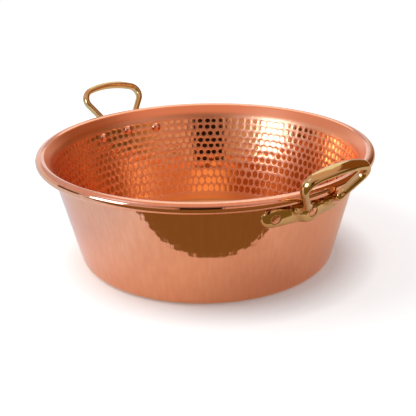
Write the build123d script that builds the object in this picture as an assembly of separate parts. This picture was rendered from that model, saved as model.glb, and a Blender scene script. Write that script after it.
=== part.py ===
from build123d import *
import math
import os

# A round copper jam pan with two cast brass handles, each held by three copper rivets.
# Millimetres and degrees. The origin is the middle of the base on the ground, Z is up,
# and the handles stand on +X (right) and -X (left).

os.makedirs("parts", exist_ok=True)

# The pan: one hammered sheet
rim_diameter = 380
pan_height = 130
foot_diameter = 290
foot_radius = 12
sheet = 1.5

# The rolled rim and the wire inside it
bead_diameter = 12
bead_stand_off = 2.6
ridge_drop = 11.5
ridge_radius = 22
curl_end_angle = -165
wire_clearance = 0.15

# The rivets
right_rivet_drop = 25.3
left_rivet_drop = 22
shank_diameter = 7
rivet_clearance = 0.1
head_diameter = 12
head_rise = 3.6
peened_diameter = 10
peened_rise = 0.7
peened_depth = 2.5

# The handle's plate, which is thickest in the middle
plate_length = 104
plate_drop = 3.2
ear_diameter = 24.2
ear_rivet_inset = 11.3
ear_rivet_drop = 2
ear_crown = 5.5
ear_edge = 2
boss_diameter = 22.4
web_diameter = 21
boss_crown = 9.5
boss_edge = 5.8
waist_radius = 140
band_spare = 1
shoulder_spread = 26
shoulder_rise = 5.5
shoulder_radius = 5

# The handle's loop, which leans outward clear of the rim
loop_lean = 31.5
loop_rise = 46.9
loop_gap = 0.8
leg_spread = 43
corner_spread = 51.5
corner_radius = 13
arch_radius = 100
foot_drop = 4.5
root_spread = 26
root_rise = 3.5
root_sink = 3.5
root_width = 12
root_thickness = 10
leg_width = 6.8
leg_thickness = 8.2
bar_width = 7.9
bar_thickness = 13.4
bar_middle_share = 0.5
right_loop_turn = 0
left_loop_turn = 2.5
left_handle_angle = 179.4

overrun = 5
upward = (Align.CENTER, Align.CENTER, Align.MIN)

# The cone of the wall's outside, and the middle of the bead
foot_reach = foot_diameter / 2
bead_radius = bead_diameter / 2
bead_reach = rim_diameter / 2 - bead_radius
bead_height = pan_height - bead_radius
wall_top_reach = bead_reach - bead_radius - bead_stand_off
wall_slope = (wall_top_reach - foot_reach) / bead_height
wall_angle = math.atan(wall_slope)

# Each handle's side: its name, its angle round the pan, its middle rivet's height, its loop's turn,
# and which way its rivets are counted, so that they go from the front of the pan to the back
sides = [
    ("right", 0, pan_height - right_rivet_drop, right_loop_turn, 1),
    ("left", left_handle_angle, pan_height - left_rivet_drop, left_loop_turn, -1),
]


def wall_reach(height, inset=0):
    """Distance from the axis to the wall's outside, or to the cone that lies inset within it."""
    return foot_reach + height * wall_slope - inset / math.cos(wall_angle)


def wall_plane(height):
    """A plane on the wall at +X: X along Y, Y up the slope, Z straight out."""
    return Plane(
        origin=(wall_reach(height), 0, height),
        x_dir=(0, 1, 0),
        z_dir=(math.cos(wall_angle), 0, -math.sin(wall_angle)),
    )


# The bowl and the wire in its rim


def flare_angle():
    """The angle, from level, at which the sheet leaves the ridge to touch the bead."""
    ridge_height = pan_height - ridge_drop
    across = bead_reach - wall_reach(ridge_height, sheet)
    above = bead_height - ridge_height
    return math.atan2(above, across) + math.asin(bead_radius / math.hypot(across, above))


def wall_line(inset):
    """A face of the sheet, inset from its outside: the floor, the wall and the flare to the bead."""
    flare = flare_angle()
    curl_radius = bead_radius - sheet + inset
    touch = Vector(bead_reach - curl_radius * math.sin(flare), bead_height + curl_radius * math.cos(flare))
    gain = math.cos(flare) - wall_slope * math.sin(flare)
    back = (wall_reach(touch.Y, inset) - touch.X) / gain
    ridge = touch + Vector(math.cos(flare), math.sin(flare)) * back
    foot = (wall_reach(inset, inset), inset)
    radii = [foot_radius - inset, ridge_radius - sheet + inset]
    return FilletPolyline((0, inset), foot, ridge, touch, radius=radii)


def sheet_line(inset):
    """A whole face of the sheet, which goes on round the bead."""
    start = math.degrees(flare_angle()) + 90
    curl_radius = bead_radius - sheet + inset
    curl = CenterArc((bead_reach, bead_height), curl_radius, start, curl_end_angle - start)
    return Wire(wall_line(inset).edges() + curl.edges())


def within_pan():
    """All that lies inside the wall's outside, on one side of the axis, below the bead's top."""
    wall = wall_line(0)
    top = wall @ 1
    closing = Polyline(top, (0, top.Y), (0, 0))
    return Plane.XZ * make_face(Wire(wall.edges() + closing.edges()))


def bowl():
    """One sheet: the floor, the wall, and the rim rolled outward and under round its wire."""
    outside = sheet_line(0)
    inside = sheet_line(sheet)
    middle = Line(outside @ 0, inside @ 0)
    curl_end = Line(outside @ 1, inside @ 1)
    outline = make_face(Wire(outside.edges() + inside.edges() + middle.edges() + curl_end.edges()))
    pan = revolve(Plane.XZ * outline, Axis.Z)
    for side, side_angle, height, turn, order in sides:
        for hole in shank_holes(height):
            pan -= Rot(0, 0, side_angle) * hole
    return pan


def rim_wire():
    """The steel wire that the rim is rolled round."""
    wire_radius = bead_radius - sheet - wire_clearance
    return Pos(0, 0, bead_height) * Torus(bead_reach, wire_radius)


# The rivets


def rivet_places(height):
    """A handle's rivets, by the middle one's height: each one's angle, height and crown."""
    reach = plate_length / 2 - ear_rivet_inset
    ear_angle = math.degrees(math.asin(reach / (wall_reach(height) + ear_crown)))
    return [
        (-ear_angle, height - ear_rivet_drop, ear_crown),
        (0, height, boss_crown),
        (ear_angle, height - ear_rivet_drop, ear_crown),
    ]


def rivet_place(angle, height):
    """Where a rivet's axis leaves the wall, pointing outward."""
    return Rot(0, 0, angle) * wall_plane(height).location


def shank_holes(height):
    """The plain holes in the wall for one handle's shanks."""
    hole = Cylinder(shank_diameter / 2 + rivet_clearance, overrun)
    return [rivet_place(angle, level) * hole for angle, level, crown in rivet_places(height)]


def rivet_seat(crown):
    """A handle's hole for a shank, its countersink below the crown, and the room above that."""
    hole = shank_diameter / 2 + rivet_clearance
    mouth = peened_diameter / 2 + rivet_clearance
    top = crown - peened_rise
    side = Polyline((hole, -overrun), (hole, top - peened_depth), (mouth, top), (mouth, top + overrun))
    ends = Line((0, -overrun), (hole, -overrun)) + Line((mouth, top + overrun), (0, top + overrun))
    middle = Line((0, top + overrun), (0, -overrun))
    return revolve(Plane.XZ * make_face(side + ends + middle), Axis.Z)


def rivet(height, crown):
    """A rivet on the XZ plane: domed head inside, shank, and end peened over at the crown."""
    head_ball = (head_diameter**2 / 4 + head_rise**2) / (2 * head_rise)
    head = Pos(0, 0, head_ball - sheet - head_rise) * Sphere(head_ball)
    inside = Cone(
        wall_reach(0, sheet),
        wall_reach(pan_height, sheet),
        pan_height,
        align=upward,
    )
    shank = shank_diameter / 2
    mouth = peened_diameter / 2
    top = crown - peened_rise
    below = -2 * sheet
    side = Polyline((0, below), (shank, below), (shank, top - peened_depth), (mouth, top))
    end_ball = (mouth**2 + peened_rise**2) / (2 * peened_rise)
    dome_half = math.asin(mouth / end_ball) / 2
    dome_side = (end_ball * math.sin(dome_half), crown - end_ball + end_ball * math.cos(dome_half))
    dome = ThreePointArc((mouth, top), dome_side, (0, crown))
    middle = Line((0, crown), (0, below))
    body = revolve(Plane.XZ * make_face(side + dome + middle), Axis.Z)
    place = wall_plane(height).location
    return (place * head & inside) + place * body


# The handles


def crowned_band(height, width, crown, edge):
    """A ring that lies on the wall; its outside is an arc across its width, from edge over crown."""
    half = width / 2
    base = wall_plane(height)
    upright = Plane(origin=base.origin, x_dir=base.y_dir, z_dir=(0, 1, 0))
    back = Polyline((-half, edge), (-half, -overrun), (half, -overrun), (half, edge))
    front = ThreePointArc((half, edge), (0, crown), (-half, edge))
    return revolve(upright * make_face(back + front) - within_pan(), Axis.Z)


def plate_outline():
    """The plate seen square on: a round ear at each end and a slight waist on each side."""
    ear_radius = ear_diameter / 2
    web_radius = web_diameter / 2
    ear = Vector(plate_length / 2 - ear_radius, 0)
    to_ear = waist_radius + ear_radius
    to_web = waist_radius + web_radius
    waist_across = (to_web**2 - to_ear**2 + ear.X**2) / (2 * ear.X)
    waist = Vector(waist_across, math.sqrt(to_web**2 - waist_across**2))
    ear_touch = ear + (waist - ear) * (ear_radius / to_ear)
    web_touch = waist * (web_radius / to_web)
    waist_middle = Vector(waist.X, waist.Y - waist_radius)
    tip = Vector(plate_length / 2, 0)
    upper_waist = ThreePointArc(ear_touch, waist_middle, web_touch)
    lower_waist = mirror(upper_waist, about=Plane.XZ)
    ear_end = ThreePointArc(lower_waist @ 0, tip, ear_touch)
    right_side = lower_waist + ear_end + upper_waist
    web_top = ThreePointArc(web_touch, Vector(0, web_radius), Vector(-web_touch.X, web_touch.Y))
    web_bottom = mirror(web_top, about=Plane.XZ)
    return make_face(right_side + mirror(right_side, about=Plane.YZ) + web_top + web_bottom)


def boss_outline():
    """The thick middle seen square on: round below, with a shoulder under each leg above."""
    shoulder = Circle(shoulder_radius)
    across = shoulder_spread / 2
    rounds = Circle(boss_diameter / 2).edges()
    rounds += (Pos(-across, shoulder_rise) * shoulder).edges()
    rounds += (Pos(across, shoulder_rise) * shoulder).edges()
    return make_hull(rounds)


def plate(height):
    """The band that lies on the wall, with thin ears and a thick middle."""
    middle = wall_plane(height - plate_drop)
    depth = boss_crown + overrun
    ear_height = height - ear_rivet_drop
    ears = crowned_band(ear_height, ear_diameter + 2 * (ear_rivet_drop + band_spare), ear_crown, ear_edge)
    ears &= extrude(middle * plate_outline(), depth, both=True)
    boss = crowned_band(height - plate_drop, boss_diameter + 2 * band_spare, boss_crown, boss_edge)
    boss &= extrude(middle * boss_outline(), depth, both=True)
    return ears + boss


def loop_plane():
    """The leaning plane of the loop, with Y up it from where it passes nearest to the bead."""
    lean = math.radians(loop_lean)
    out = bead_radius + loop_gap + leg_thickness / 2
    return Plane(
        origin=(bead_reach + out * math.cos(lean), 0, bead_height - out * math.sin(lean)),
        x_dir=(0, 1, 0),
        z_dir=(math.cos(lean), 0, -math.sin(lean)),
    )


def loop_line(turn):
    """The loop's middle: two straight legs that spread, round corners and a slightly arched bar."""
    arch_centre = loop_rise - arch_radius
    corner_across = corner_spread / 2
    corner_up = arch_centre + math.sqrt((arch_radius - corner_radius) ** 2 - corner_across**2)
    across = corner_across - leg_spread / 2
    spread = math.atan2(across, corner_up) + math.asin(corner_radius / math.hypot(across, corner_up))
    arch_half = math.degrees(math.atan2(corner_across, corner_up - arch_centre))
    foot = (leg_spread / 2 - foot_drop * math.tan(spread), -foot_drop)
    leg_top = (
        corner_across + corner_radius * math.cos(spread),
        corner_up - corner_radius * math.sin(spread),
    )
    corner_start = -math.degrees(spread)
    leg = Line(foot, leg_top)
    corner = CenterArc((corner_across, corner_up), corner_radius, corner_start, 90 - arch_half - corner_start)
    arch = CenterArc((0, arch_centre), arch_radius, 90 - arch_half, 2 * arch_half)
    line = leg + corner + arch + mirror(leg + corner, about=Plane.YZ)
    turned = Pos(0, -foot_drop) * Rot(0, 0, turn) * Pos(0, foot_drop) * line
    return Wire((loop_plane() * turned).edges())


def loop_section(line, share, width, thickness):
    """An oval across the loop's line, its thickness square to the plane of the loop."""
    across = Plane(origin=line @ share, x_dir=loop_plane().z_dir, z_dir=line % share)
    return across * Ellipse(thickness / 2, width / 2)


def loop(height, turn):
    """The loop and the two roots that carry its legs out from the plate."""
    line = loop_line(turn)
    start = loop_section(line, 0, leg_width, leg_thickness)
    middle = loop_section(line, bar_middle_share, bar_width, bar_thickness)
    end = loop_section(line, 1, leg_width, leg_thickness)
    bar = sweep([start, middle, end], path=line, multisection=True)
    for side, foot in ((1, start), (-1, end)):
        root = Pos(side * root_spread / 2, root_rise, root_sink) * Ellipse(root_width / 2, root_thickness / 2)
        bar += loft([wall_plane(height).location * root, foot])
    return bar


def handle(height, turn):
    """A cast handle at +X, with a hole and a countersunk seat for each rivet."""
    casting = loop(height, turn) + plate(height)
    for angle, level, crown in rivet_places(height):
        casting -= rivet_place(angle, level) * rivet_seat(crown)
    return casting


# The pieces where they belong

export_step(bowl(), "parts/bowl.step")
export_step(rim_wire(), "parts/rim_wire.step")

for side, side_angle, height, turn, order in sides:
    export_step(Rot(0, 0, side_angle) * handle(height, turn), f"parts/handle_{side}.step")
    for place, (angle, level, crown) in zip(("front", "middle", "back"), rivet_places(height)[::order]):
        piece = Rot(0, 0, side_angle + angle) * rivet(level, crown)
        export_step(piece, f"parts/rivet_{side}_{place}.step")
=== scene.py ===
import bpy
import math
import numpy as np
from mathutils import Matrix, Vector


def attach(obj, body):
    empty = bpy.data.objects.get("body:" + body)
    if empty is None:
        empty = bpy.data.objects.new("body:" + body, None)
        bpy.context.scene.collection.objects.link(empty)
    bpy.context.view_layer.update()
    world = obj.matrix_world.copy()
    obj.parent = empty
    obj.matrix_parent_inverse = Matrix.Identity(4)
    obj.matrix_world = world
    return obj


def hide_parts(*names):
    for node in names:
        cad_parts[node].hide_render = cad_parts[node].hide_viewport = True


# A copper jam pan: a hammered bowl with a wired rim, and two cast brass handles on rivets.
# The pan's sizes are in millimetres, and its meshes are made in metres in the frame of the
# solid model: Z up, the right handle on +X.

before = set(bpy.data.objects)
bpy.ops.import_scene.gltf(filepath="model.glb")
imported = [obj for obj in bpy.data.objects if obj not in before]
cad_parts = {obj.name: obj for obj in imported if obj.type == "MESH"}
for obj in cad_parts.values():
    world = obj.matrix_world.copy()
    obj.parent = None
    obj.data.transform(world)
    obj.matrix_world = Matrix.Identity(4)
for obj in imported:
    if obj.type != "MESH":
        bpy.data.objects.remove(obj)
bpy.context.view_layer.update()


# The bowl. One round of copper sheet, spun to shape, its sides then struck all round with a
# ball-faced hammer in eleven rows, and its edge rolled outward and down round a steel wire.
# Inside, the strokes are bright and the copper between them is satin. Outside it is buffed.

MM = 0.001
rim_reach = 190
pan_height = 130
foot_reach = 145
foot_radius = 12
sheet = 1.5
bead_radius = 6
bead_reach = rim_reach - bead_radius
bead_height = pan_height - bead_radius
bead_overhang = 2.6
ridge_drop = 11.5
ridge_radius = 22
wall_slope = (bead_reach - bead_radius - bead_overhang - foot_reach) / bead_height
wall_angle = math.atan(wall_slope)
curl_end = math.radians(-165)

# How far apart the sheet's points are, and how many there are round the pan
inside_step = 0.62
outside_step = 2.2
floor_start, floor_step = 2, 12
ridge_step, flare_step, roll_step = 0.8, 0.9, 0.55
strokes_round = 114
points_round = strokes_round * 14


def wall_reach(height, inset=0.0):
    """Distance from the pan's axis to the wall's outside, or to the cone inset within it."""
    return foot_reach + height * wall_slope - inset / math.cos(wall_angle)


def arc(middle, radius, start, end, step):
    """Points on an arc, in radians, both ends included."""
    count = max(2, math.ceil(abs(end - start) * radius / step) + 1)
    turns = np.linspace(start, end, count)
    return np.stack([middle[0] + radius * np.cos(turns), middle[1] + radius * np.sin(turns)], 1)


def rounded(before, corner, after, radius, step):
    """The arc that rounds off a corner between two straight runs."""
    corner = Vector(corner)
    runs = [(Vector(end) - corner).normalized() for end in (before, after)]
    half = runs[0].angle(runs[1]) / 2
    middle = corner + (runs[0] + runs[1]).normalized() * (radius / math.sin(half))
    ends = [corner + run * (radius / math.tan(half)) - middle for run in runs]
    start, end = (math.atan2(end.y, end.x) for end in ends)
    return arc(middle, radius, start, start + math.remainder(end - start, math.tau), step)


def run_between(start, end, step):
    """Points along a straight run, its two ends left out."""
    start, end = np.array(start, float), np.array(end, float)
    count = max(2, math.ceil(float(np.linalg.norm(end - start)) / step) + 1)
    return start + (end - start) * np.linspace(0, 1, count)[1:-1, None]


def sheet_line(inset, step):
    """One face of the sheet from the middle of the floor to the end of the curl."""
    ridge_height = pan_height - ridge_drop
    across = bead_reach - wall_reach(ridge_height, sheet)
    above = bead_height - ridge_height
    flare = math.atan2(above, across) + math.asin(bead_radius / math.hypot(across, above))
    curl = bead_radius - sheet + inset
    touch = (bead_reach - curl * math.sin(flare), bead_height + curl * math.cos(flare))
    gain = math.cos(flare) - wall_slope * math.sin(flare)
    back = (wall_reach(touch[1], inset) - touch[0]) / gain
    ridge = (touch[0] + math.cos(flare) * back, touch[1] + math.sin(flare) * back)
    foot = (wall_reach(inset, inset), inset)
    foot_arc = rounded((0, inset), foot, ridge, foot_radius - inset, step)
    ridge_arc = rounded(foot, ridge, touch, ridge_radius - sheet + inset, ridge_step)
    floor = run_between((floor_start, inset), foot_arc[0], floor_step)
    roll = arc((bead_reach, bead_height), curl, math.pi / 2 + flare, curl_end, roll_step)
    wall = run_between(foot_arc[-1], ridge_arc[0], step)
    flared = run_between(ridge_arc[-1], roll[0], flare_step)
    return np.concatenate([[(floor_start, inset)], floor, foot_arc, wall, ridge_arc, flared, roll])


# The rows of hammer strokes, from the top: their heights, where round the pan each starts, as
# a share of a stroke, and how large the strokes look next to the gaps
row_heights = np.array([110.1, 102.3, 93.6, 85.7, 78.6, 70.2, 61.7, 52.7, 42.5, 32.5, 22.3])
row_starts = np.array([0, 0.04, 0.5, 0.02, 0.48, 0.0, 0.52, 0.05, 0.46, 0.0, 0.5]) + 0.23
row_sizes = np.array([1.0, 1.02, 1.05, 1.08, 1.1, 1.13, 1.16, 1.2, 1.25, 1.27, 1.28])
row_halves = -np.gradient(row_heights) / 2 / math.cos(wall_angle)
row_window = 9

# Each stroke is a little off its even place, height and size, and leans the sheet a little
turn_spread, height_spread, size_spread = 0.04, 0.3, 0.035
stroke_lean, lean_spread = 0.027, 0.006
chance = np.random.default_rng(7)
even_turns = (np.arange(strokes_round) + row_starts[:, None]) / strokes_round
each = even_turns.shape
stroke_turns = (even_turns + chance.normal(0, turn_spread / strokes_round, each)) % 1
stroke_heights = row_heights[:, None] + chance.normal(0, height_spread, each)
stroke_sizes = row_sizes[:, None] * (1 + chance.normal(0, size_spread, each))
stroke_leans = stroke_lean + chance.normal(0, lean_spread, each)

# The strokes fade in above the foot and out below the ridge, between these heights. A stroke
# sets the sheet back, which shows as a hollow dish inside and hardly at all outside.
fade_in, fade_out = (13, 18), (112.5, 115.5)
set_back, inside_hollow, outside_hollow = 0.17, 0.05, 0.07
dish_edge = (0.5, 1.2)
bright_edge = (0.58, 0.72)
off_stroke = 1.3
bead_top = bead_reach - 3.5


def hammered(height, turn):
    """How far each point is from its nearest stroke's middle, 1 half way to the next stroke
    and at most off_stroke, and how far that stroke leans the sheet there."""
    reach = wall_reach(height, sheet)
    nearest = np.full_like(height, off_stroke)
    lean = np.zeros_like(height)
    for row, row_height in enumerate(row_heights):
        near_row = np.abs(height - row_height) < row_window
        h, t, r = height[near_row], turn[near_row], reach[near_row]
        half_across = math.pi * wall_reach(row_height) / strokes_round
        slot = np.floor(t * strokes_round - row_starts[row]).astype(int)
        for step in (-1, 0, 1, 2):
            stroke = (slot + step) % strokes_round
            across = ((t - stroke_turns[row, stroke] + 0.5) % 1 - 0.5) * math.tau * r
            up = (h - stroke_heights[row, stroke]) / math.cos(wall_angle)
            away = np.sqrt((across / half_across) ** 2 + (up / row_halves[row]) ** 2)
            away = away / stroke_sizes[row, stroke]
            closer = away < nearest[near_row]
            lean[near_row] = np.where(closer, up * stroke_leans[row, stroke], lean[near_row])
            nearest[near_row] = np.where(closer, away, nearest[near_row])
    return nearest, lean


def fade(values, low, high):
    """Smoothly from 0 at low to 1 at high."""
    share = np.clip((values - low) / (high - low), 0, 1)
    return share * share * (3 - 2 * share)


def turned(line, count):
    """A line turned about the Z axis: a ring of so many points for each of its own."""
    turns = np.arange(count) / count * math.tau
    ring = np.stack([np.cos(turns), np.sin(turns)], 1)
    levels = np.broadcast_to(line[:, None, 1:], (len(line), count, 1))
    return np.concatenate([line[:, None, :1] * ring, levels], 2)


def ring_faces(rings):
    """The faces between rings of points, and one over the first and one over the last ring."""
    grid = np.arange(rings.shape[0] * rings.shape[1]).reshape(rings.shape[:2])
    here, there = grid[:-1], grid[1:]
    quads = np.stack([here, np.roll(here, -1, 1), np.roll(there, -1, 1), there], 2)
    return quads.reshape(-1, 4).tolist() + [grid[0, ::-1].tolist(), grid[-1].tolist()]


def mesh_piece(name, points, faces):
    """A smooth-shaded object from points in metres."""
    mesh = bpy.data.meshes.new(name)
    mesh.from_pydata(np.asarray(points).tolist(), [], faces)
    mesh.validate()
    mesh.shade_smooth()
    piece = bpy.data.objects.new(name, mesh)
    bpy.context.collection.objects.link(piece)
    return piece


inside = sheet_line(sheet, inside_step)
outside = sheet_line(0, outside_step)
line = np.concatenate([outside, inside[::-1]])
is_inside = np.arange(len(line))[:, None] >= len(outside)
bowl_points = turned(line, points_round)
height = np.broadcast_to(line[:, None, 1], bowl_points.shape[:2])
turn = np.broadcast_to(np.arange(points_round) / points_round, bowl_points.shape[:2])
strength = fade(line[:, 1:], *fade_in) * (1 - fade(line[:, 1:], *fade_out))
struck = strength[:, 0] > 0
from_stroke = np.full(height.shape, off_stroke)
lean = np.zeros(height.shape)
from_stroke[struck], lean[struck] = hammered(height[struck], turn[struck])
dish = 1 - np.clip(from_stroke, 0, 1) ** 2
depth = (set_back + lean) * (1 - fade(from_stroke, *dish_edge)) + inside_hollow * dish
push = np.where(is_inside, depth, outside_hollow * dish) * strength
bowl_points[..., 0] += push * math.cos(wall_angle) * np.cos(turn * math.tau)
bowl_points[..., 1] += push * math.cos(wall_angle) * np.sin(turn * math.tau)
bowl_points[..., 2] -= push * math.sin(wall_angle)
bowl = mesh_piece("hammered_bowl", bowl_points.reshape(-1, 3) * MM, ring_faces(bowl_points))

# Where the copper is mirror bright: in the strokes and all over the outside, up to the bead's top
inner_face = is_inside & (line[:, :1] < bead_top)
bright = np.where(inner_face, (1 - fade(from_stroke, *bright_edge)) * strength, 1.0)
bowl.data.attributes.new("bright", "FLOAT", "POINT").data.foreach_set("value", bright.ravel())


class Finish:
    """A number, colour or direction in a finish's node tree, written with plain sums."""

    def __init__(self, tree, socket=None):
        self.tree = tree
        self.socket = socket

    def node(self, kind, settings=None, sockets=None, out=0):
        """Any node: its type, its settings, which are set first, and the values or links of
        its sockets."""
        made = self.tree.nodes.new(kind)
        for name, value in (settings or {}).items():
            if name == "stops":
                ramp = made.color_ramp
                while len(ramp.elements) > 1:
                    ramp.elements.remove(ramp.elements[-1])
                for index, (place, colour) in enumerate(value):
                    stop = ramp.elements[0] if index == 0 else ramp.elements.new(place)
                    stop.position = place
                    stop.color = (*colour, 1)
            else:
                setattr(made, name, value)
        for name, value in (sockets or {}).items():
            if isinstance(value, Finish):
                self.tree.links.new(value.socket, made.inputs[name])
            else:
                made.inputs[name].default_value = value
        return Finish(self.tree, made.outputs[out]) if made.outputs else None

    def maths(self, operation, first, second=0.0):
        """One sum on numbers."""
        return self.node("ShaderNodeMath", {"operation": operation}, {0: first, 1: second})

    def __add__(self, other):
        return self.maths("ADD", self, other)

    def __radd__(self, other):
        return self.maths("ADD", other, self)

    def __sub__(self, other):
        return self.maths("SUBTRACT", self, other)

    def __rsub__(self, other):
        return self.maths("SUBTRACT", other, self)

    def __mul__(self, other):
        return self.maths("MULTIPLY", self, other)

    def __rmul__(self, other):
        return self.maths("MULTIPLY", other, self)

    def __truediv__(self, other):
        return self.maths("DIVIDE", self, other)

    def __rtruediv__(self, other):
        return self.maths("DIVIDE", other, self)

    def place(self, x, y, z):
        """A place from three numbers."""
        return self.node("ShaderNodeCombineXYZ", {}, {0: x, 1: y, 2: z})

    def noise(self, scale, detail=3.0, roughness=0.55):
        """Cloudy variation at this place, about 0.5 on average."""
        sockets = {"Vector": self, "Scale": scale, "Detail": detail, "Roughness": roughness}
        return self.node("ShaderNodeTexNoise", {}, sockets, out="Fac")

    def between(self, low, high):
        """From 0 where this is low to 1 where it is high, and held beyond them."""
        sockets = {"Value": self, "From Min": low, "From Max": high}
        return self.node("ShaderNodeMapRange", {}, sockets)

    def blend(self, first, second):
        """A colour: the first where this is 0, the second where it is 1."""
        settings = {"data_type": "RGBA"}
        return self.node("ShaderNodeMix", settings, {0: self, 6: first, 7: second}, out=2)

    def relief(self, strength, distance, under=None):
        """This as a surface's relief, on top of another where one is given."""
        sockets = {"Strength": strength, "Distance": distance, "Height": self}
        if under:
            sockets["Normal"] = under
        return self.node("ShaderNodeBump", {}, sockets)


def new_finish(name):
    """An empty material and the start of its node tree."""
    material = bpy.data.materials.new(name)
    material.use_nodes = True
    material.node_tree.nodes.clear()
    return material, Finish(material.node_tree)


def show(start, surface, output="ShaderNodeOutputMaterial"):
    """Joins a finished surface to its tree's output."""
    start.node(output, {}, {"Surface": surface})


def metal(start, colour, rough, relief):
    """Finishes a material as bare metal."""
    sockets = {"Base Color": colour, "Metallic": 1.0, "Roughness": rough, "Normal": relief}
    show(start, start.node("ShaderNodeBsdfPrincipled", {}, sockets))


def around_axis(start):
    """A point's place on the pan, its distance from the axis, its height and its angle."""
    place = start.node("ShaderNodeTexCoord", out="Object")
    parts = start.node("ShaderNodeSeparateXYZ", {}, {0: place}).socket.node
    x, y, z = (Finish(start.tree, parts.outputs[axis]) for axis in range(3))
    return place, start.maths("SQRT", x * x + y * y), z, start.maths("ARCTAN2", y, x)


# Faint marks of turning and buffing run round the pan, and ripples run up the outside
ripples_round, ripples_up = 45, 60
copper, start = new_finish("polished_copper")
place, reach, z, angle = around_axis(start)
turning_marks = start.place(reach, z, angle * 0.004).noise(900.0, 4.0, 0.7)
clouds = place.noise(22.0, 4.0, 0.6)
smears = place.noise(75.0, 5.0, 0.6)
round_x, round_y = (start.maths(wave, angle) * ripples_round for wave in ("COSINE", "SINE"))
streaks = start.place(round_x, round_y, z * ripples_up).noise(1.0, 2.0, 0.5)
polish = start.node("ShaderNodeAttribute", {"attribute_name": "bright"}, out="Fac")

# The copper's colour outside, in the strokes and between them, on the flare, and low down inside,
# where the tints are partly painted light
behind_wall = z * wall_slope + (foot_reach * MM - reach)
is_inner = behind_wall.between(0.6 * MM, 1.2 * MM)
outer_share = clouds * 0.6 + streaks * 1.6 - 0.6
outer_tint = outer_share.blend((0.93, 0.485, 0.31, 1), (0.87, 0.41, 0.245, 1))
# Inside, the satin between the strokes is a paler pink, a painted sheen, and the mirror-bright
# strokes a deeper orange, painted for their darker reflections
inner_tint_and_sheen = polish.blend((0.95, 0.50, 0.295, 1), (0.92, 0.45, 0.19, 1))
tint = is_inner.blend(outer_tint, inner_tint_and_sheen)
# The satin flare above the ridge is painted more orange: painted warm light, bounced from the walls
# opposite
above_ridge = z.between(115 * MM, 120 * MM)
tint = (above_ridge * (1 - polish)).blend(tint, (0.93, 0.36, 0.175, 1))
# Low on the inner wall the copper is painted a brighter orange, and on the inner floor a pale pink:
# painted highlights for the light these parts mirror
low_down = z.between(18 * MM, 11 * MM)
tint = (low_down * is_inner).blend(tint, (1.0, 0.50, 0.20, 1))
on_floor = z.between(4.5 * MM, 2 * MM)
tint = (on_floor * is_inner).blend(tint, (0.99, 0.64, 0.47, 1))

satin = 0.29 + 0.08 * clouds + 0.04 * smears
mirror = 0.04 + 0.03 * clouds + 0.02 * smears
ripples = streaks.relief(0.5, 0.2 * MM)
marks = (turning_marks + smears * 0.6).relief(0.05, 0.2 * MM, under=ripples)
metal(start, tint, satin + (mirror - satin) * polish, marks)
bowl.data.materials.append(copper)
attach(bowl, "root")
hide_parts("bowl")


# The rim wire. Drawn steel wire bent to a ring, which stiffens the edge. The copper is rolled
# round it, so only the slot under the roll shows a little of it.

wire_finish, start = new_finish("drawn_wire")
place, reach, z, angle = around_axis(start)
drawn = start.place(reach, z, angle * 0.01).noise(1500.0)
steel = place.noise(160.0, 4.0).blend((0.33, 0.32, 0.31, 1), (0.18, 0.165, 0.15, 1))
metal(start, steel, 0.3 + 0.2 * drawn, drawn.relief(0.2, 0.1 * MM))
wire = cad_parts["rim_wire"]
wire.data.materials.clear()
wire.data.materials.append(wire_finish)


# The handles. Each is one brass casting: a band with a round ear at each end that lies on the
# wall, a thick middle, and a loop that springs from two shoulders, leans out clear of the rim
# and has a nearly straight grip. The joints are cast with soft fillets and buffed bright.

# Each handle: its side, its angle round the pan, its middle rivet's height and its loop's turn
handles = (
    ("right", 0.0, pan_height - 25.3, 0.0),
    ("left", math.radians(179.4), pan_height - 22.0, math.radians(2.5)),
)

# The band is narrowest beside the middle, at waist_across, and its ears are low domes
band_end = 52
waist, waist_across, waist_blend, waist_sweep = 9.9, 15.43, 3, 280
plate_drop = 3.2
ear_reach = 39.9
ear_radius = 12.1
ear_drop = 2.0
ear_edge = 0.8
ear_crown = 5.5
ear_fall, ear_fall_limit = 8, 0.3
ear_rivet_inset = 11.3

# The thick middle falls away from its crown upward and sideways
boss_radius = 11.2
boss_crown = 9.5
boss_up, boss_up_fall = 12.5, 3.4
boss_across, boss_across_fall = 15, 1.2
boss_limit = 1.2
shoulder_across, shoulder_up, shoulder_radius = 13, 5.5, 5

# The loop's line is a leg, a corner and half of the flat arch of the grip, on each side, and
# its section is an oval, in the loop's plane and across it
loop_lean = math.radians(31.5)
leg_in, leg_off = 3.45, 4.1
grip_in, grip_off = 4.0, 6.7
swell_middle, swell_end, swell_width = 0.38, 37.7, 26
oval = 2.3
loop_clear = 0.8
loop_out = bead_radius + loop_clear + leg_off
loop_reach = bead_reach + loop_out * math.cos(loop_lean)
loop_level = bead_height - loop_out * math.sin(loop_lean)
loop_top = 46.9
arch_radius = 100
corner_radius = 13
corner_across = 25.75
leg_across = 21.5
foot_drop = 4.5
leg_start = 4.5
arch_middle = loop_top - arch_radius
corner_up = arch_middle + math.sqrt((arch_radius - corner_radius) ** 2 - corner_across**2)
spread_run = corner_across - leg_across
spread = math.atan2(spread_run, corner_up)
spread += math.asin(corner_radius / math.hypot(spread_run, corner_up))
foot_across = leg_across - foot_drop * math.tan(spread)
leg_length = math.hypot(
    corner_across + corner_radius * math.cos(spread) - foot_across,
    corner_up - corner_radius * math.sin(spread) + foot_drop,
)
arch_start = math.pi / 2 - math.atan2(corner_across, corner_up - arch_middle)
line_overlap = 0.05

# The roots that carry the legs out of the shoulders taper from one of these to the next
root_radii = (6.0, 4.4, 3.8)

# The rivets' holes, widened at the mouth
hole_radius, mouth_radius, sink_depth = 3.6, 5.1, 2.5
end_height = 0.7
cone_share = 0.88

# Above this height the wall's outside curves out of its slope, and the casting with it
bend_start, bend_limit, bend_width = 113.6, 5, 38


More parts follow.
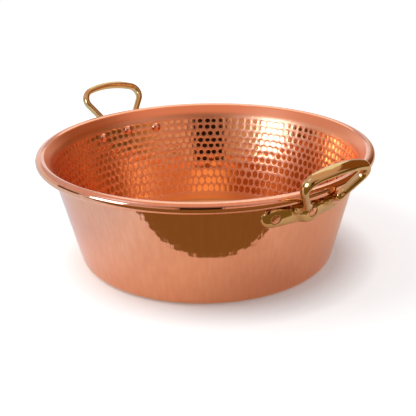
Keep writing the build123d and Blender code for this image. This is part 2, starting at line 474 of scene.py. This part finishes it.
def soft_join(first, second, radius):
    """Two bodies run together with a fillet of about that radius."""
    share = np.clip(0.5 + 0.5 * (second - first) / radius, 0, 1)
    return second + (first - second) * share - radius * share * (1 - share)


def soft_cut(first, second, radius):
    """What lies in both bodies, its new edge eased."""
    return -soft_join(-first, -second, radius)


def rod(x, y, z, start, end, start_radius, end_radius):
    """A straight bar with round ends that tapers from one radius to the other."""
    run = np.subtract(end, start)
    x, y, z = x - start[0], y - start[1], z - start[2]
    along = np.clip((x * run[0] + y * run[1] + z * run[2]) / run.dot(run), 0, 1)
    away = (x - along * run[0]) ** 2 + (y - along * run[1]) ** 2 + (z - along * run[2]) ** 2
    return np.sqrt(away) - (start_radius + (end_radius - start_radius) * along)


def wall_point(height, up, across, out):
    """A point beside a handle: up the wall from a height, across it and out from it."""
    reach = wall_reach(height) + up * math.sin(wall_angle) + out * math.cos(wall_angle)
    level = height + up * math.cos(wall_angle) - out * math.sin(wall_angle)
    return (math.sqrt(reach**2 - across**2), across, level)


def loop_point(up, across):
    """A point of the loop's leaning plane."""
    return (loop_reach + up * math.sin(loop_lean), across, loop_level + up * math.cos(loop_lean))


def rivet_places(height):
    """A handle's three rivets: each one's angle, height and crown."""
    ear_turn = math.asin((band_end - ear_rivet_inset) / (wall_reach(height) + ear_crown))
    ear_height = height - ear_drop
    return (
        (-ear_turn, ear_height, ear_crown),
        (0, height, boss_crown),
        (ear_turn, ear_height, ear_crown),
    )


def casting(x, y, z, height, turn):
    """Signed distance, about, to one handle on +X, its loop turned a little in its own plane."""
    reach = np.hypot(x, y)
    rise = (z - height) * math.cos(wall_angle)
    off_wall = (reach - foot_reach - z * wall_slope) * math.cos(wall_angle)
    up_plate = (x - wall_reach(height)) * math.sin(wall_angle) + rise + plate_drop
    up_band = (reach - wall_reach(height)) * math.sin(wall_angle) + rise + ear_drop

    # The band and its ears
    half_width = waist + (np.hypot(y, waist_blend) - waist_across) ** 2 / waist_sweep
    past_ear = np.clip(np.abs(y) - ear_reach, 0, None)
    across = np.hypot(past_ear, up_band) / ear_radius
    ear_top = ear_edge + (ear_crown - ear_edge) * np.sqrt(1 - np.clip(across, 0, 1) ** 2)
    ear_top = ear_top - ear_fall * np.clip(across - 1, 0, ear_fall_limit)
    band = soft_cut(np.hypot(past_ear, up_plate) - half_width, off_wall - ear_top, 2.0)

    # The thick middle with a shoulder under each leg
    past_shoulder = np.clip(np.abs(y) - shoulder_across, 0, None)
    shoulder = np.hypot(past_shoulder, up_plate - shoulder_up) - shoulder_radius
    boss_line = soft_join(np.hypot(y, up_plate) - boss_radius, shoulder, 6)
    boss_top = boss_crown - boss_up_fall * np.clip(up_plate / boss_up, -boss_limit, boss_limit) ** 2
    beside = np.clip(np.abs(y) / boss_across, 0, boss_limit)
    boss_top = boss_top - boss_across_fall * beside**4
    body = soft_join(band, soft_cut(boss_line, off_wall - boss_top, 4.5), 5.0)

    # Where the point is in the loop's own plane, across it and up it, and how far off that plane
    out_x, out_z = x - loop_reach, z - loop_level
    loop_off = out_x * math.cos(loop_lean) - out_z * math.sin(loop_lean)
    from_foot = out_x * math.sin(loop_lean) + out_z * math.cos(loop_lean) + foot_drop
    side = np.abs(y * math.cos(turn) + from_foot * math.sin(turn))
    from_foot = from_foot * math.cos(turn) - y * math.sin(turn)
    loop_up = from_foot - foot_drop

    # The loop: its nearest leg, corner or arch
    past_foot = side - foot_across
    along = past_foot * math.sin(spread) + from_foot * math.cos(spread)
    along = np.clip(along, leg_start, leg_length)
    from_line = np.hypot(past_foot - along * math.sin(spread), from_foot - along * math.cos(spread))
    corner_side, corner_rise = side - corner_across, loop_up - corner_up
    corner_turn = np.arctan2(corner_rise, corner_side)
    in_corner = (corner_turn > -spread - line_overlap) & (corner_turn < arch_start + line_overlap)
    from_corner = np.abs(np.hypot(corner_side, corner_rise) - corner_radius)
    from_line = np.where(in_corner, np.minimum(from_line, from_corner), from_line)
    in_arch = np.arctan2(loop_up - arch_middle, side) > arch_start
    from_arch = np.abs(np.hypot(side, loop_up - arch_middle) - arch_radius)
    from_line = np.where(in_arch, np.minimum(from_line, from_arch), from_line)

    # It thickens up its legs, and most in the middle of the grip
    swell = swell_middle * np.clip((swell_end - side) / swell_width, 0, 1)
    thicker = np.clip(from_foot / (loop_top + foot_drop), 0, 1) * (1 - swell_middle + swell)
    half_in = leg_in + (grip_in - leg_in) * thicker
    half_off = leg_off + (grip_off - leg_off) * thicker
    section = ((from_line / half_in) ** oval + np.abs(loop_off / half_off) ** oval) ** (1 / oval)
    loop = (section - 1) * half_in

    # The roots that carry the legs out of the shoulders
    shoulder_point = wall_point(height, up=4, across=17.5, out=0)
    knee = wall_point(height, up=8, across=20, out=8)
    leg_point = loop_point(up=1.5, across=foot_across + 2.4)
    body = soft_join(body, rod(x, np.abs(y), z, shoulder_point, knee, *root_radii[:2]), 2.5)
    loop = soft_join(loop, rod(x, np.abs(y), z, knee, leg_point, *root_radii[1:]), 3.5)
    body = soft_join(body, loop, 4.0)

    # The back lies on the wall
    bend = np.clip(z - bend_start, 0, bend_limit) ** 2 / bend_width
    body = soft_cut(body, bend - off_wall, 0.5)

    # The countersunk holes for the rivets
    for rivet_turn, level, crown in rivet_places(height):
        dx = x * math.cos(rivet_turn) + y * math.sin(rivet_turn) - wall_reach(level)
        dy = y * math.cos(rivet_turn) - x * math.sin(rivet_turn)
        dz = z - level
        out = dx * math.cos(wall_angle) - dz * math.sin(wall_angle)
        ring = np.hypot(dy, dx * math.sin(wall_angle) + dz * math.cos(wall_angle))
        widened = np.clip((out - crown + end_height + sink_depth) / sink_depth, 0, 1)
        hole = hole_radius + (mouth_radius - hole_radius) * widened
        body = soft_cut(body, (hole - ring) * cone_share, 0.25)
    return body


def skin(field, low, high, step):
    """The closed surface where a field is zero: one point in each cell it crosses, drawn onto
    it, then evened out along it."""
    axes = [np.arange(a - step, b + 2 * step, step) for a, b in zip(low, high)]
    values = np.empty([len(axis) for axis in axes])
    for index, x in enumerate(axes[0]):
        slice_x = np.full((len(axes[1]), len(axes[2])), x)
        values[index] = field(slice_x, axes[1][:, None], axes[2][None, :])
    solid = values < 0
    cells = [len(axis) - 1 for axis in axes]
    corners = sum(
        solid[i : cells[0] + i, j : cells[1] + j, k : cells[2] + k].astype(int)
        for i, j, k in np.ndindex(2, 2, 2)
    )
    crossed = (corners > 0) & (corners < 8)
    number = np.full(crossed.shape, -1)
    number[crossed] = np.arange(crossed.sum())
    points = np.array([axis[0] for axis in axes]) + (np.argwhere(crossed) + 0.5) * step

    # A face across each edge of the cells that runs from filled to empty, facing the empty end
    faces = []
    for axis in range(3):
        one, two = [a for a in range(3) if a != axis]
        low_side = np.moveaxis(solid, axis, 0)[:-1]
        high_side = np.moveaxis(solid, axis, 0)[1:]
        ways = ((low_side & ~high_side, axis == 1), (~low_side & high_side, axis != 1))
        for leaving, flip in ways:
            at = np.argwhere(leaving)
            edge = np.empty_like(at)
            edge[:, [axis, one, two]] = at
            around = []
            for a, b in ((-1, -1), (0, -1), (0, 0), (-1, 0)):
                cell = edge.copy()
                cell[:, one] += a
                cell[:, two] += b
                around.append(number[tuple(cell.T)])
            faces.append(np.stack(around[::-1] if flip else around, 1))
    faces = np.concatenate(faces)

    def to_surface(points, rounds):
        tiny = step * 0.02
        for _ in range(rounds):
            at = field(*points.T)
            ahead = [field(*(points + np.eye(3)[axis] * tiny).T) for axis in range(3)]
            slope = (np.stack(ahead, 1) - at[:, None]) / tiny
            move = slope * (at / np.maximum((slope**2).sum(1), 0.05))[:, None]
            points = points - np.clip(move, -0.5 * step, 0.5 * step)
        return points

    points = to_surface(points, 4)
    ends = np.concatenate([faces, np.roll(faces, -1, 1)]).reshape(2, -1)
    both_ways = np.concatenate([ends, ends[::-1]], 1)
    joined = np.bincount(both_ways[0], minlength=len(points))[:, None]
    for _ in range(3):
        sums = [np.bincount(both_ways[0], points[both_ways[1], axis]) for axis in range(3)]
        points = to_surface(0.4 * points + 0.6 * np.stack(sums, 1) / joined, 2)
    return points, faces.tolist()


brass, start = new_finish("buffed_brass")
place = start.node("ShaderNodeTexCoord", out="Object")
clouds = place.noise(55.0, 4.0, 0.6)
grain = place.noise(620.0, 4.0, 0.65)
waves = place.noise(130.0, 2.0, 0.4)
brass_tint = clouds.blend((0.70, 0.49, 0.22, 1), (0.64, 0.425, 0.17, 1))
brass_relief = (waves + grain * 0.12).relief(0.12, 0.4 * MM)
metal(start, brass_tint, 0.07 + 0.06 * clouds + 0.03 * grain, brass_relief)

# The space round a handle on +X, and how finely its surface is found there
handle_low, handle_high = (148, -56, 84), (230, 56, 172)
handle_step = 0.75
for side_name, facing, height, turn in handles:
    points, faces = skin(
        lambda x, y, z: casting(x, y, z, height, turn), handle_low, handle_high, handle_step
    )
    points = points @ np.array(Matrix.Rotation(facing, 3, "Z")).T
    handle = mesh_piece(f"cast_handle_{side_name}", points * MM, faces)
    handle.data.materials.append(brass)
    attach(handle, "root")
    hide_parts(f"handle_{side_name}")


# The rivets. Copper, three to a handle: a domed head inside the pan, a shank through the wall
# and the casting, and an end hammered over into the countersink, which leaves a few flats
# and is buffed pale with the brass.

rivet_round = 48
head_radius, head_height = 6, 3.6
shank_radius, end_radius = 3.5, 5
flats_struck, flat_tilt, flat_share = 5, 0.07, 0.9
rivet_seeds = {"right": (20, 21, 22), "left": (10, 11, 12)}

rivet_copper, start = new_finish("rivet_copper")
place, reach, *_ = around_axis(start)
outer_end = reach.between(182 * MM, 186 * MM)
specks = place.noise(260.0, 2.0, 0.5).between(0.58, 0.66)
dents = place.noise(420.0, 3.0, 0.5)
clouds = place.noise(90.0, 3.0, 0.5)
head_tint = clouds.blend((0.90, 0.47, 0.31, 1), (0.86, 0.41, 0.25, 1))
end_tint = specks.blend((0.78, 0.60, 0.34, 1), (0.80, 0.45, 0.27, 1))
rivet_tint = outer_end.blend(head_tint, end_tint)
metal(start, rivet_tint, 0.12 + 0.1 * dents, dents.relief(0.25, 0.4 * MM))


def dome_ball(radius, height):
    """The ball that a low dome is part of: its radius, and the dome's half angle on it."""
    ball = (radius**2 + height**2) / (2 * height)
    return ball, math.asin(radius / ball)


def rivet_points(crown, seed):
    """Rings of points along a rivet on the Z axis, Z out of the pan and 0 on the wall's outside."""
    ball, rim = dome_ball(head_radius, head_height)
    up, down = math.pi / 2, -math.pi / 2
    head = arc((0, ball - sheet - head_height), ball, down, down + rim, 0.45)[1:]
    ball, rim = dome_ball(end_radius, end_height)
    dome = arc((0, crown - ball), ball, up - rim, up, 0.5)[:-1]
    top = crown - end_height
    shank = [
        (head_radius - 0.4, -sheet - 0.02),
        (shank_radius, -sheet),
        (shank_radius, top - sink_depth),
        (end_radius - 0.1, top - 0.1),
    ]
    points = turned(np.concatenate([head, shank, dome]), rivet_round)

    # The hammer's flats on the end
    flats = np.random.default_rng(seed)
    for _ in range(flats_struck):
        tilt = flats.normal(0, flat_tilt, 2)
        direction = np.array([tilt[0], tilt[1], 1.0])
        direction /= np.linalg.norm(direction)
        level = (points @ direction).max() - abs(flats.normal(0.05, 0.04)) - 0.02
        over = np.clip(points @ direction - level, 0, None)
        points -= over[..., None] * direction * flat_share
    return points


for side_name, facing, height, turn in handles:
    places = rivet_places(height) if side_name == "right" else rivet_places(height)[::-1]
    names = ("front", "middle", "back")
    for name, (rivet_turn, level, crown), seed in zip(names, places, rivet_seeds[side_name]):
        rings = rivet_points(crown, seed)
        tilt = Matrix.Rotation(math.pi / 2 + wall_angle, 3, "Y")
        spin = Matrix.Rotation(facing + rivet_turn, 3, "Z")
        points = rings.reshape(-1, 3) @ np.array(tilt).T + (wall_reach(level), 0, level)
        points = points @ np.array(spin).T
        rivet = mesh_piece(f"rivet_{name}_{side_name}", points * MM, ring_faces(rings))
        rivet.data.materials.append(rivet_copper)
        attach(rivet, "root")
        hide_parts(f"rivet_{side_name}_{name}")


# The table and the studio round it, in metres. The pan stands on a white sheet that ends a
# little in front of it, with a dark brown room beyond, which the polished wall mirrors. The
# boards and the room's walls are seen only in the metal.

camera_place = (0.74163, -0.53705, 0.41167)
camera_turn = math.atan2(camera_place[1], camera_place[0])
table_width = 12
table_drop = 0.0002


def studio_point(turn_degrees, distance, height):
    """A point by its angle from the camera's side, its distance from the axis and its height."""
    angle = camera_turn + math.radians(turn_degrees)
    return Vector((math.cos(angle) * distance, math.sin(angle) * distance, height))


def flat_sheet(name, width, depth):
    """A level rectangle about its object's own place."""
    w, d = width / 2, depth / 2
    return mesh_piece(name, [(-w, -d, 0), (w, -d, 0), (w, d, 0), (-w, d, 0)], [(0, 1, 2, 3)])


def only_mirrored(piece):
    """Leaves a piece of the studio visible in the metal's reflections alone."""
    piece.visible_camera = False
    piece.visible_diffuse = False
    piece.visible_shadow = False
    piece.visible_transmission = False


def card(name, centre, width, depth, colour, strength, level=None):
    """A board that glows evenly, facing the pan, or level and turned by so many degrees."""
    board = flat_sheet(name, width, depth)
    board.location = centre
    if level is None:
        aim = Vector((0, 0, 0.06)) - centre
        board.rotation_euler = aim.to_track_quat("Z", "Y").to_euler()
    else:
        board.rotation_euler = (0, 0, camera_turn + math.pi / 2 + math.radians(level))
    material, start = new_finish(name)
    glow = start.node("ShaderNodeEmission", {}, {"Color": (*colour, 1), "Strength": strength})
    show(start, glow)
    board.data.materials.append(material)
    only_mirrored(board)


table = flat_sheet("table", table_width, table_width)
table.location = (0, 0, -table_drop)
white_sheet, start = new_finish("white_sheet")
place = start.node("ShaderNodeTexCoord", out="Object")
to_the_right = (-math.sin(camera_turn), math.cos(camera_turn), 0)
across = start.node(
    "ShaderNodeVectorMath", {"operation": "DOT_PRODUCT"}, {0: place, 1: to_the_right}, out="Value"
)
# In the metal's reflections the sheet shows painted light, cool and pale on the left and warm on
# the right
painted_light_stops = [
    (0.0, (0.70, 0.82, 0.91)),
    (0.22, (0.76, 0.80, 0.92)),
    (0.36, (0.86, 0.85, 0.88)),
    (0.46, (0.83, 0.74, 0.68)),
    (0.62, (0.85, 0.71, 0.58)),
    (0.80, (0.82, 0.645, 0.52)),
    (0.92, (0.86, 0.68, 0.56)),
    (1.0, (0.95, 0.78, 0.67)),
]
painted_sheet_light = start.node("ShaderNodeValToRGB", {"stops": painted_light_stops}, {"Fac": across * 2.2 + 0.7})
in_metal = start.node("ShaderNodeLightPath", out="Is Glossy Ray")
in_view = start.node("ShaderNodeLightPath", out="Is Camera Ray")
paper_tint = in_metal.blend((0.89, 0.885, 0.88, 1), painted_sheet_light)
paper = start.node("ShaderNodeBsdfDiffuse", {}, {"Color": paper_tint})

# The sheet glows a little, up to white in the open. Near the foot, off to the right, the glow
# fades, both in view and in the metal, which paints a darker shadow there on top of the cast one
painted_shadow_middle = studio_point(70, 0.012, 0)
from_foot = start.node(
    "ShaderNodeVectorMath", {"operation": "DISTANCE"}, {0: place, 1: painted_shadow_middle}, out="Value"
)
in_the_open = from_foot.between(0.14, 0.19)
glow_share = (in_view * 0.39 + in_metal * 0.1) * in_the_open + in_view * 0.13 + in_metal * 0.12
glow_tint = glow_share.blend((0, 0, 0, 1), in_metal.blend((1, 1, 1, 1), painted_sheet_light))
glow = start.node("ShaderNodeEmission", {}, {"Color": glow_tint, "Strength": 1.0})
show(start, start.node("ShaderNodeAddShader", {}, {0: paper, 1: glow}))
table.data.materials.append(white_sheet)

# The dark floor in front of the sheet, and dark places at the camera, on the right and the left
dark_start, dark_depth = 0.2075, 1.2
dark_middle = studio_point(3, dark_start + dark_depth / 2, 0.0006)
card("room_floor", dark_middle, 3.0, dark_depth, (0.24, 0.138, 0.04), 1.0, level=3)
card("camera_side", studio_point(-3.5, 1.3, 0.25), 0.60, 0.70, (0.015, 0.008, 0.006), 1.0)
card("right_room", studio_point(115, 1.5, 0.80), 2.1, 1.7, (0.28, 0.10, 0.022), 1.0)
card("left_room", studio_point(-92, 1.5, 0.22), 0.55, 0.5, (0.16, 0.06, 0.025), 1.0)

# The room's walls: pale behind the pan, a dull warm brown toward the camera, and dark on the
# right. A share of 0.5 is the camera's side, and larger shares go round to the right.
room_reach, room_height, room_corners = 1.75, 0.72, 96
room_stops = [
    (0.0, (1.0, 1.02, 1.12)),
    (0.14, (0.80, 0.76, 0.75)),
    (0.25, (0.66, 0.58, 0.54)),
    (0.33, (0.64, 0.55, 0.52)),
    (0.40, (0.64, 0.48, 0.43)),
    (0.45, (0.56, 0.36, 0.28)),
    (0.53, (0.72, 0.46, 0.42)),
    (0.59, (0.76, 0.49, 0.44)),
    (0.635, (0.55, 0.31, 0.16)),
    (0.70, (0.14, 0.085, 0.03)),
    (0.88, (0.14, 0.085, 0.03)),
    (0.92, (0.45, 0.30, 0.20)),
    (0.95, (0.85, 0.80, 0.80)),
    (1.0, (1.0, 1.02, 1.12)),
]
rings = turned(np.array([(room_reach, 0.0), (room_reach, room_height)]), room_corners)
room = mesh_piece("room_walls", rings.reshape(-1, 3), ring_faces(rings)[:-2])
wall_paint, start = new_finish("room_walls")
angle = around_axis(start)[-1]
turned_share = start.maths("FRACT", (angle - camera_turn) / math.tau + 1.5)
wall_colour = start.node("ShaderNodeValToRGB", {"stops": room_stops}, {"Fac": turned_share})
show(start, start.node("ShaderNodeEmission", {}, {"Color": wall_colour, "Strength": 1.0}))
room.data.materials.append(wall_paint)
only_mirrored(room)


# The light. One soft box high on the left gives the shading and the shadow and doesn't show in
# the metal. What shows there are three windows, as boards, and a pale sky, which is brown on
# the camera's side.

light = bpy.data.lights.new("left_box", "AREA")
light.shape = "RECTANGLE"
light.size, light.size_y = 0.9, 0.9
light.energy = 9
left_box = bpy.data.objects.new("left_box", light)
left_box.location = studio_point(-80, 1.1, 1.4)
to_pan = Vector((0, 0, 0.05)) - left_box.location
left_box.rotation_euler = to_pan.to_track_quat("-Z", "Y").to_euler()
left_box.visible_glossy = False
bpy.context.collection.objects.link(left_box)

card("back_window", studio_point(169, 1.0, 1.5), 1.6, 1.5, (1.0, 1.0, 1.0), 1.25)
card("left_window", studio_point(-61.5, 1.6, 0.47), 0.66, 0.54, (0.8, 0.96, 1.2), 7.5)
card("high_window", studio_point(-69, 1.2, 1.45), 0.7, 0.6, (0.95, 1.1, 1.5), 1.0)

world = bpy.data.worlds.new("studio")
bpy.context.scene.world = world
world.use_nodes = True
world.node_tree.nodes.clear()
start = Finish(world.node_tree)
direction = start.node("ShaderNodeTexCoord", out="Generated")
rise = start.node("ShaderNodeSeparateXYZ", {}, {0: direction}, out=2)
sky_stops = [
    (0.0, (0.55, 0.50, 0.52)),
    (0.2, (0.58, 0.51, 0.56)),
    (0.5, (0.64, 0.51, 0.53)),
    (0.85, (0.80, 0.52, 0.44)),
]
sky = start.node("ShaderNodeValToRGB", {"stops": sky_stops}, {"Fac": rise})
to_camera = (math.cos(camera_turn), math.sin(camera_turn), 0)
toward = start.node(
    "ShaderNodeVectorMath", {"operation": "DOT_PRODUCT"}, {0: direction, 1: to_camera}, out="Value"
)
sky = toward.between(0.6, 0.85).blend(sky, (0.25, 0.14, 0.075, 1))
in_metal = start.node("ShaderNodeLightPath", out="Is Glossy Ray")
in_view = start.node("ShaderNodeLightPath", out="Is Camera Ray")
sky = in_view.blend(in_metal.blend((0.52, 0.52, 0.53, 1), sky), (1, 1, 1, 1))
background = start.node("ShaderNodeBackground", {}, {"Color": sky, "Strength": 1.0})
show(start, background, "ShaderNodeOutputWorld")


# The camera. It stands where the photograph was taken from, turned and with the lens that lay
# the pan's rim, foot and handles over the photograph's.

lens = bpy.data.cameras.new("photo_view")
lens.sensor_width = 36
lens.lens = 72.91
camera = bpy.data.objects.new("photo_view", lens)
bpy.context.collection.objects.link(camera)
right, up = (0.59437, 0.80396, -0.01946), (-0.28335, 0.23200, 0.93053)
back = (0.75262, -0.54757, 0.36569)
camera_axes = Matrix((right, up, back)).transposed().to_4x4()
camera.matrix_world = Matrix.Translation(camera_place) @ camera_axes
bpy.context.scene.camera = camera
bpy.context.scene.view_settings.view_transform = "Standard"
